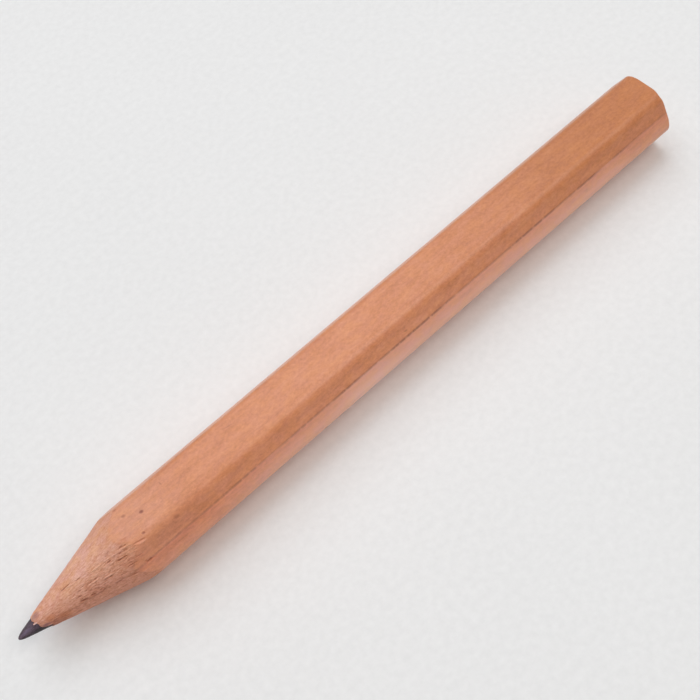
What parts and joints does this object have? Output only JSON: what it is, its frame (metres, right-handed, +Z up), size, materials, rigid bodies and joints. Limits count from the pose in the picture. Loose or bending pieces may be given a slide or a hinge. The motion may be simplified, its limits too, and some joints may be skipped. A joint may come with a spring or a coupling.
{
  "type": "pencil stub",
  "caption": "Short six-sided natural-wood pencil with a glued two-part casing and a graphite lead, sharpened at one end and sawn off flat at the other.",
  "frame": {"origin": "the middle of the stub's bounding box, on the surface that it lies on", "axes": "+X along the stub from the sharpened point to the sawn end; +Z up; the side with the visible glued joint faces -Y"},
  "size_m": [0.085, 0.0082, 0.0074],
  "materials": {
    "upper_wood": "satin",
    "lower_wood": "satin",
    "graphite": "satin"
  },
  "bodies": {
    "root": {"upper_casing_half": "upper_wood", "lower_casing_half": "lower_wood", "graphite_lead": "graphite"}
  },
  "joints": []
}
